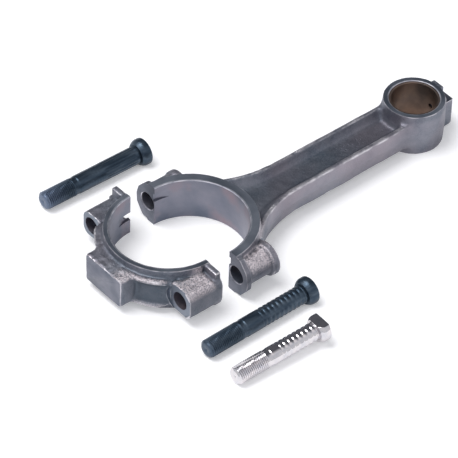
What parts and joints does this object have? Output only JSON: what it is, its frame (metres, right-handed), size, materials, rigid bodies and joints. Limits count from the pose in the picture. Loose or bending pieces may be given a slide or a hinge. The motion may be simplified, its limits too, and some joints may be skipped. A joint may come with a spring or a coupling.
{
  "type": "connecting rod",
  "caption": "Split-cap I-beam engine connecting rod laid out in pieces: rod forging with small-end bush, cap taken off, rod bolts and nuts.",
  "frame": {"origin": "centre of the rod's big-end bore at mid-width", "axes": "+X from the big end to the small end, +Z along both bores, bench at z = -11.95 mm"},
  "size_m": [0.2208, 0.1663, 0.024],
  "materials": {
    "forged_steel": "as-forged grey steel with machined faces",
    "bush_bronze": "fine-bored bronze",
    "black_oxide_steel": "black oxide, lightly oiled",
    "polished_steel": "mirror polished",
    "nut_steel": "phosphated"
  },
  "bodies": {
    "rod": {"rod_forging": "forged_steel", "small_end_bush": "bush_bronze"},
    "cap": {"rod_cap": "forged_steel"},
    "bolt_fluted": {"fluted_bolt": "black_oxide_steel"},
    "bolt_ribbed": {"ribbed_bolt": "black_oxide_steel"},
    "bolt_polished": {"polished_bolt": "polished_steel"},
    "nut_near": {"rod_nut_near": "nut_steel"},
    "nut_far": {"rod_nut_far": "nut_steel"}
  },
  "joints": [
    {"name": "cap_slide", "type": "slide", "parent": "rod", "child": "cap", "axis": [0.9749, -0.2226, 0], "range_m": [0, 0.01301]},
    {"name": "fluted_bolt_lift", "type": "slide", "parent": "rod", "child": "bolt_fluted", "axis": [0, 0, 1], "range_m": [0, 0.04]},
    {"name": "ribbed_bolt_lift", "type": "slide", "parent": "rod", "child": "bolt_ribbed", "axis": [0, 0, 1], "range_m": [0, 0.04]},
    {"name": "polished_bolt_lift", "type": "slide", "parent": "rod", "child": "bolt_polished", "axis": [0, 0, 1], "range_m": [0, 0.04]},
    {"name": "nut_near_lift", "type": "slide", "parent": "rod", "child": "nut_near", "axis": [0, 0, 1], "range_m": [0, 0.03]},
    {"name": "nut_far_lift", "type": "slide", "parent": "rod", "child": "nut_far", "axis": [0, 0, 1], "range_m": [0, 0.03]}
  ]
}
